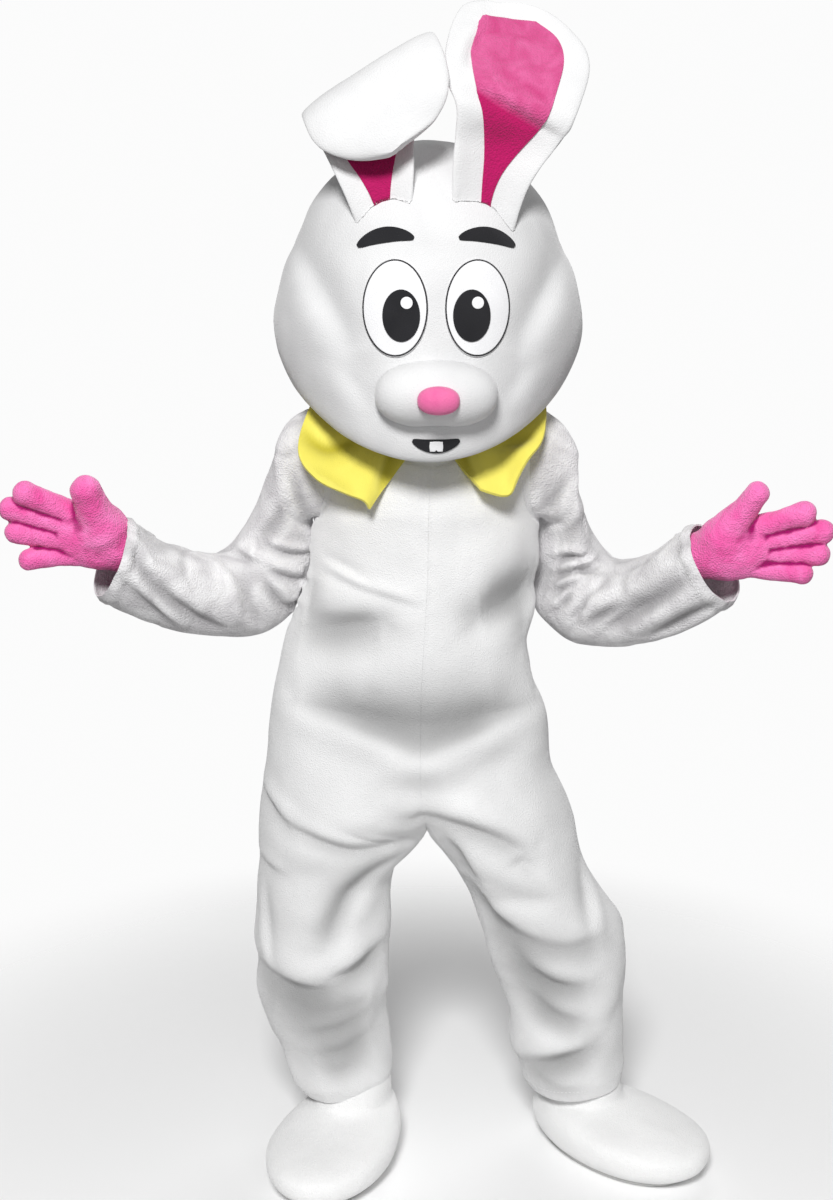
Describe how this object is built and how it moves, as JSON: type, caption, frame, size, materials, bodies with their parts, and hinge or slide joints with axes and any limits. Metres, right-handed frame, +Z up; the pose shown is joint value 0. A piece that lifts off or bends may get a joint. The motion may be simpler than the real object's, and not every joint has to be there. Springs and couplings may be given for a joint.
{
  "type": "rabbit mascot costume",
  "caption": "Hollow worn plush rabbit costume: one-piece suit with a pointed felt collar, big round head with one upright and one folded ear, mitt-like gloves and round-toed shoes.",
  "frame": {"origin": "the base of the wearer's neck, where the suit hangs from the shoulders and the head rests on them", "axes": "+Z up; -Y the way the costume faces; +X toward the wearer's left"},
  "size_m": [1.4259, 0.5601, 2.0952],
  "materials": {
    "white_plush": "short white plush pile",
    "sleeve_plush": "thinner white plush, its nap ruffled and slightly grey",
    "yellow_felt": "thick soft yellow felt",
    "pink_plush": "short pink plush, its nap brushed in patches",
    "nose_pink": "smooth pink fleece over padding",
    "white_felt": "smooth white felt",
    "black_felt": "smooth black felt",
    "sole_rubber": "matt grey foam rubber"
  },
  "bodies": {
    "root": {"suit_front_right": "white_plush", "suit_front_left": "white_plush", "suit_back_right": "white_plush", "suit_back_left": "white_plush", "back_placket": "white_plush", "head": "white_plush", "muzzle": "white_plush", "ear_right": "white_plush", "ear_left": "white_plush", "shoe_upper_right": "white_plush", "shoe_upper_left": "white_plush", "sleeve_right": "sleeve_plush", "sleeve_left": "sleeve_plush", "collar_right": "yellow_felt", "collar_left": "yellow_felt", "glove_right": "pink_plush", "glove_left": "pink_plush", "ear_lining_right": "pink_plush", "ear_lining_left": "pink_plush", "nose": "nose_pink", "eye_right": "white_felt", "eye_left": "white_felt", "teeth": "white_felt", "pupil_right": "black_felt", "pupil_left": "black_felt", "brow_right": "black_felt", "brow_left": "black_felt", "mouth": "black_felt", "shoe_sole_right": "sole_rubber", "shoe_sole_left": "sole_rubber"}
  },
  "joints": []
}
